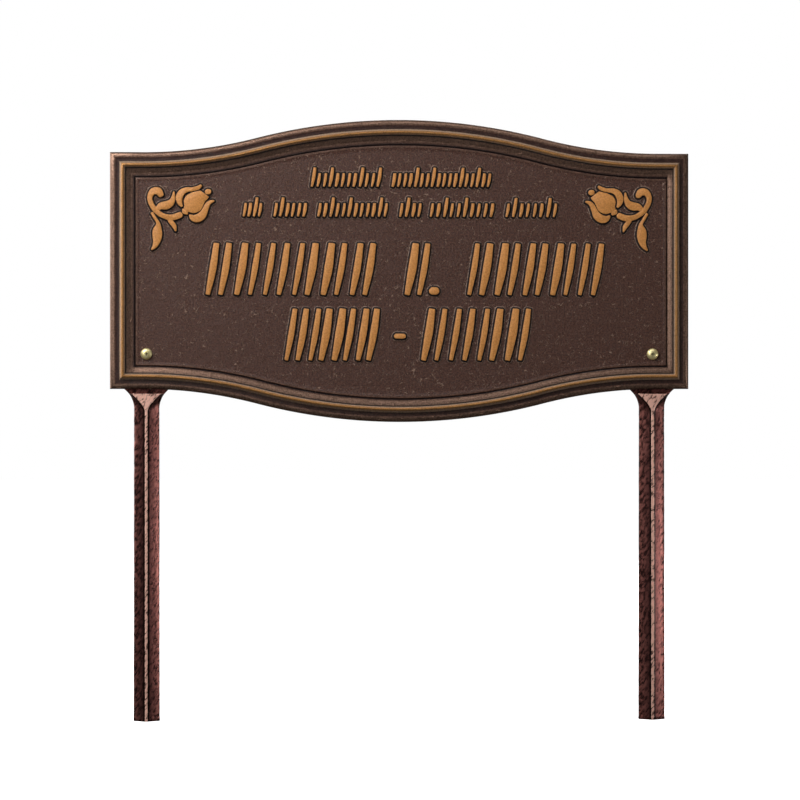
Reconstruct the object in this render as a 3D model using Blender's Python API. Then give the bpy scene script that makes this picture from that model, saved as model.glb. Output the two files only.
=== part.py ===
"""Memorial lawn marker: one cast aluminium plaque, held by two brass screws on two cast stakes.

Metres, +Z up. The front faces -Y, the back of the plaque lies on the plane Y = 0, and the origin is
on the ground, midway between the stakes, which are cut off flat there.
"""

import math

import bmesh
import bpy

# Plaque outline: a square-cornered plate whose upper and lower edges swell in the middle.
PLAQUE_WIDTH = 0.400
SIDE_HEIGHT = 0.1632
EDGE_SWELL = 0.0228
CROWN_REACH = 0.099
CORNER_SPARE = 0.0052
GROUND_CLEARANCE = 0.2292
PLATE_THICKNESS = 0.0035

# Frame moulding, from the outer edge inwards: widths across it and heights above the flat back.
ROUNDOVER_WIDTH = 0.0024
ROUNDOVER_FOOT = 0.0030
ROUNDOVER_TOP = 0.0046
ROUNDOVER_BULGE = 0.0005
COVE_WIDTH = 0.0038
COVE_HOLLOW = 0.0009
RIDGE_WIDTH = 0.0034
RIDGE_HEIGHT = 0.0080
RIDGE_CROWN = 0.0006
DROP_WIDTH = 0.0014
DROP_FOOT = 0.0048
OVOLO_WIDTH = 0.0044
OVOLO_FOOT = 0.0040
OVOLO_BULGE = 0.0006
GROOVE_WIDTH = 0.0014
GROOVE_DEPTH = 0.0006

# Raised work on the field: strokes and tulip sprays stand this high, with sloping sides.
RELIEF = 0.0016
RELIEF_DRAFT = 0.00015
RELIEF_SINK = 0.0010

# Inscription: rows of leaning strokes.
SMALL_ROW_HEIGHT = 0.0128
LARGE_ROW_HEIGHT = 0.0349
SMALL_STROKE = 0.0024
LARGE_STROKE = 0.0056
STROKE_LEAN = 0.17
FIRST_ROW_MARGIN = 0.1203
SECOND_ROW_MARGIN = 0.0739
NAME_ROW_MARGIN = 0.0448
DATE_ROW_MARGIN = 0.0977
FIRST_ROW_PITCH = 0.0079
SECOND_ROW_PITCH = 0.0087
NAME_ROW_PITCH = 0.0198
DATE_ROW_PITCH = 0.0180
ROW_SHIFTS = (0.0007, 0.0004, 0.0031, 0.0056)

# Tulip sprays: one in each upper corner of the field, the right one mirrored.
TULIP_WIDTH = 0.0467
TULIP_FROM_SIDE = 0.0316
TULIP_FROM_TOP = 0.0247

# Brass round-head screws, one near each lower corner.
SCREW_FROM_SIDE = 0.0250
SCREW_FROM_BOTTOM = 0.0242
HEAD_WIDTH = 0.0080
HEAD_HEIGHT = 0.0026
SHANK_WIDTH = 0.0040
SCREW_BEYOND_FLANGE = 0.0016
SHANK_CHAMFER = 0.0004
RECESS_ARM = 0.0021
RECESS_WIDTH = 0.0008
RECESS_DEPTH = 0.0011
FIT_GAP = 0.0003

# Stakes: a ridged shaft under a flared head, with a flat flange up behind the plaque.
SHAFT_WIDTH = 0.0175
SHAFT_FOOT_WIDTH = 0.0182
RIDGE_FLAT = 0.0016
SHAFT_FRONT = 0.0053
FLANGE_THICKNESS = 0.0040
FLANGE_ABOVE_SCREW = 0.0120
FLANGE_CORNER = 0.0080
FLARE_HEIGHT = 0.0138
FLARE_RADIUS = 0.0171
SHELF_DROP = 0.0032
SHELF_WIDTH = 0.0208
FACET_HEIGHT = 0.0122
FACET_CURVE = 1.5

# How finely the curves are divided.
CROWN_STEPS = 7
SHOULDER_STEPS = 5
MOULDING_STEPS = 3
FLARE_STEPS = 5
CORNER_STEPS = 4
ROUND_STEPS = 16
DOME_STEPS = 4
SHARP_ANGLE = math.radians(35)

FRAME_WIDTH = ROUNDOVER_WIDTH + COVE_WIDTH + RIDGE_WIDTH + DROP_WIDTH + OVOLO_WIDTH + GROOVE_WIDTH
SHOULDER_END = PLAQUE_WIDTH / 2 - FRAME_WIDTH - CORNER_SPARE
CENTRE_HEIGHT = GROUND_CLEARANCE + SIDE_HEIGHT / 2
FIELD_HALF_WIDTH = PLAQUE_WIDTH / 2 - FRAME_WIDTH
FIELD_HALF_HEIGHT = SIDE_HEIGHT / 2 + EDGE_SWELL - FRAME_WIDTH
SCREW_X = PLAQUE_WIDTH / 2 - SCREW_FROM_SIDE
SCREW_Z = GROUND_CLEARANCE + SCREW_FROM_BOTTOM


def clear_scene():
    for thing in list(bpy.data.objects):
        bpy.data.objects.remove(thing, do_unlink=True)


def make_material(name, color, roughness, metallic):
    material = bpy.data.materials.new(name)
    material.use_nodes = True
    shader = material.node_tree.nodes["Principled BSDF"]
    shader.inputs["Base Color"].default_value = (*color, 1.0)
    shader.inputs["Roughness"].default_value = roughness
    shader.inputs["Metallic"].default_value = metallic
    return material


def object_from(name, mesh_builder, material=None):
    """Closes the bmesh's normals outwards and puts it in the scene as a named object."""
    bmesh.ops.recalc_face_normals(mesh_builder, faces=mesh_builder.faces)
    mesh = bpy.data.meshes.new(name)
    mesh_builder.to_mesh(mesh)
    mesh_builder.free()
    thing = bpy.data.objects.new(name, mesh)
    bpy.context.scene.collection.objects.link(thing)
    if material:
        mesh.materials.append(material)
    return thing


def join_or_cut(thing, helper, operation):
    """Adds an exact Boolean with the helper, which is kept out of the render. Its forms may overlap."""
    modifier = thing.modifiers.new(helper.name, "BOOLEAN")
    modifier.solver = "EXACT"
    modifier.use_self = True
    modifier.operation = operation
    modifier.object = helper
    helper.hide_render = True
    helper.display_type = "WIRE"


def loft(mesh_builder, rings):
    """Skins closed rings of points, each with as many points as the last, and returns their vertices."""
    vertex_rings = [[mesh_builder.verts.new(point) for point in ring] for ring in rings]
    for lower, upper in zip(vertex_rings, vertex_rings[1:]):
        count = len(lower)
        for i in range(count):
            j = (i + 1) % count
            mesh_builder.faces.new((lower[i], lower[j], upper[j], upper[i]))
    return vertex_rings


def closed_loft(mesh_builder, rings):
    vertex_rings = loft(mesh_builder, rings)
    mesh_builder.faces.new(vertex_rings[0])
    mesh_builder.faces.new(vertex_rings[-1])


def bowed(start, end, bulge):
    """Points after start up to end on a shallow arc that stands out by bulge in its middle."""
    run = end[0] - start[0]
    rise = end[1] - start[1]
    length = math.hypot(run, rise)
    points = []
    for step in range(1, MOULDING_STEPS + 1):
        share = step / MOULDING_STEPS
        out = 4 * bulge * share * (1 - share)
        across = start[0] + run * share - rise / length * out
        up = start[1] + rise * share + run / length * out
        points.append((across, up))
    return points


def moulding_profile():
    """The frame's section as (distance in from the outer edge, height above the back)."""
    ridge_shoulder = RIDGE_HEIGHT - RIDGE_CROWN
    cove_start = ROUNDOVER_WIDTH
    ridge_start = cove_start + COVE_WIDTH
    ridge_end = ridge_start + RIDGE_WIDTH
    ovolo_start = ridge_end + DROP_WIDTH
    ovolo_end = ovolo_start + OVOLO_WIDTH
    profile = [(0.0, 0.0), (0.0, ROUNDOVER_FOOT)]
    profile += bowed(profile[-1], (cove_start, ROUNDOVER_TOP), ROUNDOVER_BULGE)
    profile += bowed(profile[-1], (ridge_start, ridge_shoulder), -COVE_HOLLOW)
    profile += bowed(profile[-1], (ridge_end, ridge_shoulder), RIDGE_CROWN)
    profile.append((ovolo_start, DROP_FOOT))
    profile += bowed(profile[-1], (ovolo_end, OVOLO_FOOT), OVOLO_BULGE)
    profile.append((ovolo_end + GROOVE_WIDTH / 2, PLATE_THICKNESS - GROOVE_DEPTH))
    profile.append((FRAME_WIDTH, PLATE_THICKNESS))
    return profile


def upper_edge(inset):
    """The plaque's upper edge moved in by inset: (x, height above the square corner), left to right.

    A crown arc and a shoulder arc meet with one tangent, and a short flat runs out to the corner.
    """
    turn = 2 * math.atan2(EDGE_SWELL, SHOULDER_END)
    crown_radius = CROWN_REACH / math.sin(turn)
    shoulder_radius = (SHOULDER_END - CROWN_REACH) / math.sin(turn)
    right = []
    for step in range(CROWN_STEPS + 1):
        angle = turn * step / CROWN_STEPS
        radius = crown_radius - inset
        right.append((radius * math.sin(angle), EDGE_SWELL - crown_radius + radius * math.cos(angle)))
    for step in range(1, SHOULDER_STEPS + 1):
        angle = turn * (1 - step / SHOULDER_STEPS)
        radius = shoulder_radius + inset
        right.append((SHOULDER_END - radius * math.sin(angle), shoulder_radius - radius * math.cos(angle)))
    right.append((PLAQUE_WIDTH / 2 - inset, -inset))
    left = [(-x, height) for x, height in reversed(right[1:])]
    return left + right


def outline_ring(inset, height):
    edge = upper_edge(inset)
    upper = [(x, -height, CENTRE_HEIGHT + SIDE_HEIGHT / 2 + rise) for x, rise in edge]
    lower = [(x, -height, CENTRE_HEIGHT - SIDE_HEIGHT / 2 - rise) for x, rise in reversed(edge)]
    return upper + lower


def smooth_stations(stations, steps):
    """Reads (u, v, width) on a smooth curve through the stations, with this many steps between two."""
    padded = [stations[0]] + list(stations) + [stations[-1]]
    samples = []
    for i in range(1, len(padded) - 2):
        before, start, end, after = padded[i - 1 : i + 3]
        for step in range(steps):
            t = step / steps
            samples.append(
                tuple(
                    0.5
                    * (
                        2 * b
                        + (c - a) * t
                        + (2 * a - 5 * b + 4 * c - d) * t**2
                        + (3 * b - a - 3 * c + d) * t**3
                    )
                    for a, b, c, d in zip(before, start, end, after)
                )
            )
    samples.append(tuple(stations[-1]))
    return samples


def stroke_outline(stations, steps, round_steps, widen):
    """The closed outline of a stroke of changing width, grown by widen all round.

    round_steps gives how many edges close its start and its end: 1 is a straight cut.
    """
    samples = smooth_stations(stations, steps)
    left = []
    right = []
    ends = []
    for i, (u, v, width) in enumerate(samples):
        before = samples[max(i - 1, 0)]
        after = samples[min(i + 1, len(samples) - 1)]
        length = math.hypot(after[0] - before[0], after[1] - before[1])
        along = ((after[0] - before[0]) / length, (after[1] - before[1]) / length)
        half = width / 2 + widen
        left.append((u - along[1] * half, v + along[0] * half))
        right.append((u + along[1] * half, v - along[0] * half))
        if i in (0, len(samples) - 1):
            ends.append((u, v, half, math.atan2(along[1], along[0])))
    start_cap = arc_between(ends[0], math.pi / 2, round_steps[0])
    end_cap = arc_between(ends[1], -math.pi / 2, round_steps[1])
    return left[::-1] + start_cap + right + end_cap


def arc_between(end, first_turn, steps):
    """Points strictly inside the half circle that closes a stroke's end."""
    u, v, radius, heading = end
    points = []
    for step in range(1, steps):
        angle = heading + first_turn + math.pi * step / steps
        points.append((u + radius * math.cos(angle), v + radius * math.sin(angle)))
    return points


def raise_stroke(mesh_builder, stations, place, steps=2, round_steps=(1, 1)):
    """Adds a stroke as a closed raised form, its foot sunk a little into the plate."""
    rings = []
    for height, widen in ((PLATE_THICKNESS - RELIEF_SINK, RELIEF_DRAFT), (PLATE_THICKNESS + RELIEF, 0.0)):
        loop = stroke_outline(stations, steps, round_steps, widen)
        rings.append([place(u, v, height) for u, v in loop])
    closed_loft(mesh_builder, rings)


# A place in a word holds two or three strokes that never touch. Each is (across, foot, top, weight),
# as shares of the place's width, the row's height and the row's full stroke.
LARGE_PLACES = (
    ((0.27, 0.00, 1.00, 1.00), (0.74, 0.00, 1.00, 0.60)),
    ((0.26, 0.00, 1.00, 0.60), (0.72, 0.00, 0.44, 0.90), (0.74, 0.58, 1.00, 0.90)),
    ((0.28, 0.00, 1.00, 0.65), (0.72, 0.00, 1.00, 1.00)),
    ((0.26, 0.00, 0.52, 0.90), (0.26, 0.66, 1.00, 0.90), (0.73, 0.00, 1.00, 0.65)),
    ((0.27, 0.00, 1.00, 1.00), (0.74, 0.30, 1.00, 0.65)),
)
SMALL_PLACES = (
    ((0.27, 0.00, 1.00, 1.00), (0.74, 0.00, 0.68, 0.70)),
    ((0.27, 0.00, 0.70, 0.70), (0.74, 0.00, 0.70, 1.00)),
    ((0.27, 0.00, 0.70, 1.00), (0.74, 0.00, 0.70, 0.70)),
    ((0.27, 0.00, 0.70, 0.70), (0.74, 0.00, 1.00, 1.00)),
)


def inscription_rows():
    """Each row: height, stroke width, margin to the field's sides, pitch of its places, their kinds, words.

    A word is its start and end as shares of the row's length.
    """
    greeting = ((0.0, 0.395), (0.445, 1.0))
    verse = ((0.0, 0.065), (0.096, 0.207), (0.234, 0.463), (0.492, 0.57), (0.588, 0.80), (0.828, 1.0))
    name = ((0.0, 0.431), (0.498, 0.565), (0.653, 1.0))
    dates = ((0.0, 0.383), (0.547, 1.0))
    return (
        (SMALL_ROW_HEIGHT, SMALL_STROKE, FIRST_ROW_MARGIN, FIRST_ROW_PITCH, SMALL_PLACES, greeting),
        (SMALL_ROW_HEIGHT, SMALL_STROKE, SECOND_ROW_MARGIN, SECOND_ROW_PITCH, SMALL_PLACES, verse),
        (LARGE_ROW_HEIGHT, LARGE_STROKE, NAME_ROW_MARGIN, NAME_ROW_PITCH, LARGE_PLACES, name),
        (LARGE_ROW_HEIGHT, LARGE_STROKE, DATE_ROW_MARGIN, DATE_ROW_PITCH, LARGE_PLACES, dates),
    )


# Room above and between the rows, as shares of the field's height that the rows leave free.
ROW_GAPS = (0.208, 0.099, 0.237, 0.129)
# The name row's point and the date row's dash: (row, start, end, height up the row, weight).
SIDE_MARKS = ((2, 0.570, 0.577, 0.07, 0.90), (3, 0.452, 0.480, 0.47, 0.60))
STROKE_BOW = 0.22
STROKE_TAPERS = ((0.0, 0.50), (0.5, 1.0), (1.0, 0.70))


def add_place(mesh_builder, left, pitch, base, height, stroke, marks, place):
    """Raises one place's strokes: they lean alike, swell in the middle and bow a little to one side."""
    for number, (across, foot, top, weight) in enumerate(marks):
        width = stroke * weight
        bow = STROKE_BOW * width * (1 if number == 0 else -1)
        stations = []
        for share, taper in STROKE_TAPERS:
            up = foot + (top - foot) * share
            u = left + pitch * across + STROKE_LEAN * height * (up - 0.5) + 4 * bow * share * (1 - share)
            stations.append((u, base + height * up, width * taper))
        raise_stroke(mesh_builder, stations, place, steps=2 if height == LARGE_ROW_HEIGHT else 1)


def add_inscription(mesh_builder):
    def place(u, v, height):
        return (u, -height, v)

    rows = inscription_rows()
    free = 2 * FIELD_HALF_HEIGHT - sum(row[0] for row in rows)
    base = CENTRE_HEIGHT + FIELD_HALF_HEIGHT
    for number, (height, stroke, margin, usual_pitch, kinds, words) in enumerate(rows):
        base -= free * ROW_GAPS[number] + height
        length = 2 * (FIELD_HALF_WIDTH - margin)
        row_start = ROW_SHIFTS[number] - length / 2
        for word, (start, end) in enumerate(words):
            places = max(1, round((end - start) * length / usual_pitch))
            pitch = (end - start) * length / places
            for i in range(places):
                left = row_start + start * length + i * pitch
                marks = kinds[(i * 3 + word * 2 + number) % len(kinds)]
                add_place(mesh_builder, left, pitch, base, height, stroke, marks, place)
        for row, start, end, up, weight in SIDE_MARKS:
            if row == number:
                ends = [row_start + share * length for share in (start, end)]
                stations = [(u, base + up * height, stroke * weight) for u in ends]
                raise_stroke(mesh_builder, stations, place, steps=1, round_steps=(2, 2))


# A tulip spray: strokes of (across, up, width) as shares of its width, from the foot of the flower.
STEM = (
    (-0.305, 0.289, 0.085),
    (-0.345, 0.335, 0.108),
    (-0.415, 0.330, 0.098),
    (-0.455, 0.275, 0.080),
    (-0.462, 0.208, 0.071),
    (-0.432, 0.125, 0.071),
    (-0.375, 0.045, 0.072),
    (-0.300, -0.012, 0.068),
    (-0.215, -0.048, 0.074),
    (-0.115, -0.052, 0.088),
    (-0.020, -0.018, 0.086),
)
INNER_LEAF = (
    (-0.365, 0.062, 0.050),
    (-0.300, 0.112, 0.100),
    (-0.215, 0.126, 0.120),
    (-0.150, 0.168, 0.095),
    (-0.118, 0.240, 0.056),
    (-0.110, 0.318, 0.026),
)
SPUR = (
    (-0.182, -0.055, 0.072),
    (-0.150, -0.120, 0.066),
    (-0.104, -0.182, 0.062),
    (-0.082, -0.252, 0.022),
)
LOWER_LEAF = (
    (-0.430, 0.010, 0.040),
    (-0.392, -0.056, 0.042),
    (-0.350, -0.122, 0.044),
    (-0.340, -0.172, 0.075),
    (-0.352, -0.246, 0.132),
    (-0.354, -0.325, 0.140),
    (-0.362, -0.400, 0.108),
    (-0.388, -0.470, 0.070),
    (-0.432, -0.525, 0.026),
)
CUP = (
    (0.080, 0.071, 0.105),
    (0.117, 0.101, 0.240),
    (0.177, 0.157, 0.298),
    (0.231, 0.207, 0.262),
    (0.288, 0.249, 0.196),
    (0.334, 0.275, 0.154),
    (0.350, 0.292, 0.134),
)
UPPER_PETAL = (
    (0.006, 0.114, 0.036),
    (-0.024, 0.170, 0.076),
    (-0.030, 0.245, 0.098),
    (0.008, 0.316, 0.094),
    (0.076, 0.353, 0.072),
    (0.170, 0.362, 0.056),
    (0.246, 0.384, 0.056),
    (0.290, 0.416, 0.036),
)
LOWER_PETAL = (
    (0.126, -0.022, 0.030),
    (0.174, -0.062, 0.092),
    (0.246, -0.064, 0.118),
    (0.312, -0.018, 0.112),
    (0.352, 0.058, 0.086),
    (0.384, 0.130, 0.070),
    (0.426, 0.174, 0.050),
    (0.480, 0.190, 0.024),
)
SEPAL = ((0.030, 0.064, 0.034), (0.047, 0.030, 0.066), (0.088, 0.004, 0.034))
STAMEN = ((0.388, 0.326, 0.078), (0.402, 0.326, 0.078))


def add_tulip(body, branches, side):
    """Adds one spray: the parts that stand apart to body, what grows out of its stem to branches."""
    from_centre = FIELD_HALF_WIDTH - TULIP_FROM_SIDE
    foot_height = CENTRE_HEIGHT + SIDE_HEIGHT / 2 - FRAME_WIDTH - TULIP_FROM_TOP

    def place(u, v, height):
        return (side * (from_centre - u), -height, foot_height + v)

    for mesh_builder, stations, round_steps in (
        (body, STEM, (4, 3)),
        (branches, INNER_LEAF, (1, 1)),
        (branches, SPUR, (1, 1)),
        (body, LOWER_LEAF, (2, 1)),
        (body, CUP, (1, 1)),
        (body, UPPER_PETAL, (2, 1)),
        (body, LOWER_PETAL, (1, 1)),
        (body, SEPAL, (1, 1)),
        (body, STAMEN, (5, 5)),
    ):
        scaled = [tuple(TULIP_WIDTH * share for share in station) for station in stations]
        steps = 1 if stations in (SEPAL, STAMEN) else 2
        raise_stroke(mesh_builder, scaled, place, steps, round_steps)


def turned_ring(x, y, z, radius):
    ring = []
    for step in range(ROUND_STEPS):
        angle = 2 * math.pi * step / ROUND_STEPS
        ring.append((x + radius * math.cos(angle), y, z + radius * math.sin(angle)))
    return ring


def hole_cutter(name, x, near, far):
    """A round peg along Y that leaves the fit gap around a screw's shank."""
    mesh_builder = bmesh.new()
    radius = SHANK_WIDTH / 2 + FIT_GAP
    closed_loft(mesh_builder, [turned_ring(x, y, SCREW_Z, radius) for y in (near, far)])
    return object_from(name, mesh_builder)


def make_plaque(material):
    mesh_builder = bmesh.new()
    closed_loft(mesh_builder, [outline_ring(inset, height) for inset, height in moulding_profile()])
    plaque = object_from("plaque", mesh_builder, material)

    raised = bmesh.new()
    branches = bmesh.new()
    add_inscription(raised)
    for side in (-1, 1):
        add_tulip(raised, branches, side)
    join_or_cut(plaque, object_from("raised_strokes", raised), "UNION")
    join_or_cut(plaque, object_from("tulip_branches", branches), "UNION")
    for side, name in ((-1, "left"), (1, "right")):
        cutter = hole_cutter(f"{name}_plaque_hole", side * SCREW_X, -RIDGE_HEIGHT, RIDGE_HEIGHT)
        join_or_cut(plaque, cutter, "DIFFERENCE")


def flare_half_width(z):
    """Half the stake's width at height z: the shaft, then a hollow flare out to the flange."""
    flare_start = GROUND_CLEARANCE - FLARE_HEIGHT
    if z <= flare_start:
        return (SHAFT_FOOT_WIDTH + (SHAFT_WIDTH - SHAFT_FOOT_WIDTH) * z / flare_start) / 2
    climb = min(z, GROUND_CLEARANCE) - flare_start
    return SHAFT_WIDTH / 2 + FLARE_RADIUS - math.sqrt(FLARE_RADIUS**2 - climb**2)


def facet_half_width(z):
    """Half the width of the front flat: the narrow ridge, then the triangle under the shelf."""
    shelf = GROUND_CLEARANCE - SHELF_DROP
    share = max(0.0, (z - shelf + FACET_HEIGHT) / FACET_HEIGHT)
    return (RIDGE_FLAT + (SHELF_WIDTH - RIDGE_FLAT) * share**FACET_CURVE) / 2


def make_stake(name, side, material):
    x = side * SCREW_X
    front = FIT_GAP
    back = front + FLANGE_THICKNESS
    shelf = GROUND_CLEARANCE - SHELF_DROP
    facet_start = shelf - FACET_HEIGHT
    mesh_builder = bmesh.new()

    shaft_heights = [0.0, min(facet_start, GROUND_CLEARANCE - FLARE_HEIGHT)]
    for step in range(1, FLARE_STEPS + 1):
        shaft_heights.append(shaft_heights[1] + (shelf - shaft_heights[1]) * step / FLARE_STEPS)
    shaft_rings = []
    for z in shaft_heights:
        wide = flare_half_width(z)
        narrow = facet_half_width(z)
        ring = [(-wide, back), (wide, back), (wide, front), (narrow, front - SHAFT_FRONT)]
        ring += [(-narrow, front - SHAFT_FRONT), (-wide, front)]
        shaft_rings.append([(x + u, y, z) for u, y in ring])
    vertex_rings = loft(mesh_builder, shaft_rings)
    mesh_builder.faces.new(vertex_rings[0])
    back_left, back_right, side_right, ridge_right, ridge_left, side_left = vertex_rings[-1]
    mesh_builder.faces.new((side_right, ridge_right, ridge_left, side_left))

    flange_half = flare_half_width(GROUND_CLEARANCE)
    flange_top = SCREW_Z + FLANGE_ABOVE_SCREW
    flange_outline = []
    for step in (1, 2):
        z = shelf + SHELF_DROP * step / 2
        flange_outline.append((flare_half_width(z), z))
    for step in range(CORNER_STEPS + 1):
        angle = math.pi / 2 * step / CORNER_STEPS
        across = flange_half - FLANGE_CORNER + FLANGE_CORNER * math.cos(angle)
        flange_outline.append((across, flange_top - FLANGE_CORNER + FLANGE_CORNER * math.sin(angle)))
    below = [back_left, back_right, side_right, side_left]
    for half, z in flange_outline:
        corners = ((-half, back), (half, back), (half, front), (-half, front))
        above = [mesh_builder.verts.new((x + u, y, z)) for u, y in corners]
        for i in range(4):
            j = (i + 1) % 4
            mesh_builder.faces.new((below[i], below[j], above[j], above[i]))
        below = above
    mesh_builder.faces.new(below)

    stake = object_from(name, mesh_builder, material)
    cutter = hole_cutter(f"{name}_hole", x, front - FLANGE_THICKNESS, back + FLANGE_THICKNESS)
    join_or_cut(stake, cutter, "DIFFERENCE")


def make_screw(name, side, material):
    """A domed head on the face of the plate, with a shank through the plate and the flange."""
    x = side * SCREW_X
    seat = -PLATE_THICKNESS - FIT_GAP
    radius = HEAD_WIDTH / 2
    end = FIT_GAP + FLANGE_THICKNESS + SCREW_BEYOND_FLANGE
    rings = [
        turned_ring(x, end, SCREW_Z, SHANK_WIDTH / 2 - SHANK_CHAMFER),
        turned_ring(x, end - SHANK_CHAMFER, SCREW_Z, SHANK_WIDTH / 2),
        turned_ring(x, seat, SCREW_Z, SHANK_WIDTH / 2),
        turned_ring(x, seat, SCREW_Z, radius),
    ]
    for step in range(1, DOME_STEPS + 1):
        angle = math.pi / 2 * step / (DOME_STEPS + 0.5)
        rings.append(turned_ring(x, seat - HEAD_HEIGHT * math.sin(angle), SCREW_Z, radius * math.cos(angle)))
    mesh_builder = bmesh.new()
    closed_loft(mesh_builder, rings)
    screw = object_from(name, mesh_builder, material)
    screw.data.shade_smooth()
    screw.data.set_sharp_from_angle(angle=SHARP_ANGLE)

    arm = RECESS_ARM
    half = RECESS_WIDTH / 2
    cross = [(arm, half), (half, half), (half, arm), (-half, arm), (-half, half), (-arm, half)]
    cross += [(-u, -v) for u, v in cross]
    mesh_builder = bmesh.new()
    depths = (seat - 2 * HEAD_HEIGHT, seat - HEAD_HEIGHT + RECESS_DEPTH)
    closed_loft(mesh_builder, [[(x + u, y, SCREW_Z + v) for u, v in cross] for y in depths])
    join_or_cut(screw, object_from(f"{name}_recess", mesh_builder), "DIFFERENCE")


def main():
    clear_scene()
    bronze = make_material("plaque_bronze_paint", (0.075, 0.045, 0.036), 0.5, 0.3)
    copper = make_material("stake_copper_vein", (0.085, 0.035, 0.032), 0.4, 0.4)
    brass = make_material("screw_brass", (0.75, 0.56, 0.20), 0.25, 1.0)
    make_plaque(bronze)
    for side, name in ((-1, "left"), (1, "right")):
        make_stake(f"{name}_stake", side, copper)
        make_screw(f"{name}_screw", side, brass)


main()
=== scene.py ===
"""Memorial lawn marker, dressed: a painted cast plaque, two brass screws and two hammered stakes."""

import math

import bmesh
import bpy
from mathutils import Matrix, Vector


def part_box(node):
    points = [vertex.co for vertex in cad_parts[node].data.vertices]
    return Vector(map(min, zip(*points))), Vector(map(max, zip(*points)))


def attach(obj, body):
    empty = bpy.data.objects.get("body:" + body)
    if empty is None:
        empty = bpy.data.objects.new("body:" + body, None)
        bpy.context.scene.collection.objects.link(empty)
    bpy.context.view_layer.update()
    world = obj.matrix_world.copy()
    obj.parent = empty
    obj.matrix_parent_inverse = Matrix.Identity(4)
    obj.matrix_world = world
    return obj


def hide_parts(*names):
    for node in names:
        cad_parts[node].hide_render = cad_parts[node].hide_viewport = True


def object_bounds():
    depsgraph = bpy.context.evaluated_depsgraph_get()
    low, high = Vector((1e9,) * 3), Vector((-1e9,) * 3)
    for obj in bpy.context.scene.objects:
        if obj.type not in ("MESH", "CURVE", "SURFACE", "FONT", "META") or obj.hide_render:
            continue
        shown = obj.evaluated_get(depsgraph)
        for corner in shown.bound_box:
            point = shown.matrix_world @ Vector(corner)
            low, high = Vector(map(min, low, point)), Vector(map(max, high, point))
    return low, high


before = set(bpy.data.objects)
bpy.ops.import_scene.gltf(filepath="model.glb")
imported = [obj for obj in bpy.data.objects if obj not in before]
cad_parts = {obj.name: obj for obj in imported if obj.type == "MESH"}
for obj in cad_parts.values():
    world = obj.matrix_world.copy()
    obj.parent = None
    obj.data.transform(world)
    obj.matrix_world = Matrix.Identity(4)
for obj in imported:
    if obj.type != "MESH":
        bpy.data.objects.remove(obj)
cad_low, cad_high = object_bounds()

# The plaque's plate and its moulded frame, cast as one in aluminium. The upper and lower edges swell
# in an ogee, and the field inside the frame keeps the pebbled skin of its sand mould.
plaque_low, plaque_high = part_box("plaque")
HALF_WIDTH = plaque_high.x
HALF_HEIGHT = (plaque_high.z - plaque_low.z) / 2
CENTRE_HEIGHT = (plaque_high.z + plaque_low.z) / 2
EDGE_SWELL = 0.0228
CROWN_REACH = 0.099
CORNER_SPARE = 0.0052
PLATE_THICKNESS = 0.0035
FRAME_WIDTH = 0.0168
EDGE_HEIGHT = 0.0030
RIDGE_TOP = -plaque_low.y
RIDGE_SHOULDER = 0.0068
CROWN_STEPS = 64
SHOULDER_STEPS = 50
CORNER_STEPS = 4
BACK_ARRIS = 0.0004
FIELD_ROWS = 96
FIELD_LOW = 0.0014
FIELD_RIGHT = 0.0010
FIELD_NARROWER = 0.0003
GROOVE_START = 0.0154
SAND_GRAIN = 0.0021
SAND_DEPTH = 0.00035
SHARP_BEND = math.radians(40)
TOUCH = 0.00001

# The paint follows each point's distance in from the edge, which the back carries as a mark below 0.
BACK_MARK = -0.004
MARK_SPARE = 0.0002

# Frame section from the outer edge in: end of each run as (across, height), its bulge, its steps.
FRAME_RUNS = (
    (0.0032, 0.0050, 0.0006, 6),
    (0.0065, 0.0048, -0.0002, 4),
    (0.0075, RIDGE_SHOULDER, -0.0001, 3),
    (0.0101, RIDGE_SHOULDER, RIDGE_TOP - RIDGE_SHOULDER, 8),
    (0.0108, 0.0049, 0.0, 2),
    (0.0113, 0.0048, 0.0, 1),
    (0.0142, 0.0038, 0.0001, 5),
    (GROOVE_START, 0.0036, 0.0, 2),
    (0.0159, 0.0029, 0.0, 1),
    (0.0164, 0.0035, 0.0, 1),
    (FRAME_WIDTH, 0.0037, 0.0, 1),
    (0.0173, 0.0037, 0.0, 1),
    (0.0179, PLATE_THICKNESS, 0.0, 1),
)


def plaque_outline():
    """The outer edge, counter-clockwise as seen from the front, with its points for the field's grid."""
    side_half = HALF_HEIGHT - EDGE_SWELL
    inner_x = HALF_WIDTH - FRAME_RUNS[-1][0]
    inner_z = side_half - FRAME_RUNS[-1][0]
    shoulder_end = HALF_WIDTH - FRAME_WIDTH - CORNER_SPARE
    turn = 2 * math.atan2(EDGE_SWELL, shoulder_end)
    crown_radius = CROWN_REACH / math.sin(turn)
    shoulder_radius = (shoulder_end - CROWN_REACH) / math.sin(turn)
    right = []
    for step in range(CROWN_STEPS + 1):
        angle = turn * step / CROWN_STEPS
        fall = crown_radius * (1 - math.cos(angle))
        right.append((crown_radius * math.sin(angle), side_half + EDGE_SWELL - fall))
    for step in range(1, SHOULDER_STEPS + 1):
        angle = turn * (1 - step / SHOULDER_STEPS)
        rise = shoulder_radius * (1 - math.cos(angle))
        right.append((shoulder_end - shoulder_radius * math.sin(angle), side_half + rise))
    for step in range(1, CORNER_STEPS):
        right.append((shoulder_end + (inner_x - shoulder_end) * step / CORNER_STEPS, side_half))
    right.append((HALF_WIDTH, side_half))
    upper = right[::-1] + [(-x, z) for x, z in right[1:]]
    side = []
    for step in range(1, FIELD_ROWS):
        side.append((-HALF_WIDTH, inner_z - 2 * inner_z * step / FIELD_ROWS))
    half = upper + side
    return [(x, CENTRE_HEIGHT + z) for x, z in half + [(-x, -z) for x, z in half]]


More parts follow.
